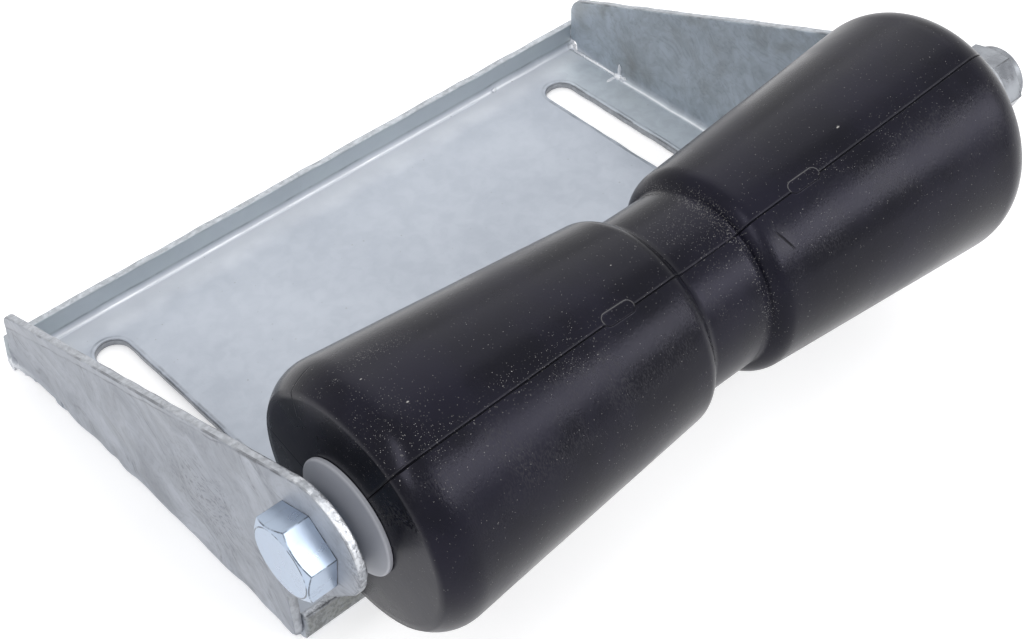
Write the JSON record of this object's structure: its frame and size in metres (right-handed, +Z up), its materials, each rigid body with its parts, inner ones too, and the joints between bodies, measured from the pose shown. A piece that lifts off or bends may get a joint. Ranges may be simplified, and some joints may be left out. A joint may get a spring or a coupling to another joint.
{
  "type": "boat trailer roller",
  "caption": "Rubber keel roller with a narrow waist, turning on a long bolt between the cheeks of a folded steel bracket with slotted base.",
  "frame": {"origin": "middle of the underside of the bracket's base plate", "axes": "+X along the roller's axle from the bolt head to the nut, +Y towards the back of the bracket, +Z up"},
  "size_m": [0.311, 0.2332, 0.1132],
  "materials": {
    "galvanised_steel": "matt zinc",
    "rubber": "satin moulded",
    "nylon": "translucent grey white",
    "zinc_plate": "bright zinc",
    "insert_plastic": "plain"
  },
  "bodies": {
    "bracket": {"bracket": "galvanised_steel", "axle_bolt": "zinc_plate", "washer": "zinc_plate", "lock_nut": "zinc_plate", "nut_insert": "insert_plastic"},
    "roller": {"roller": "rubber", "bush_left": "nylon", "bush_right": "nylon"}
  },
  "joints": [
    {"name": "roller_spin", "type": "hinge", "parent": "bracket", "child": "roller", "pos_m": [0, -0.1045, 0.07], "axis": [1, 0, 0], "continuous": true}
  ]
}
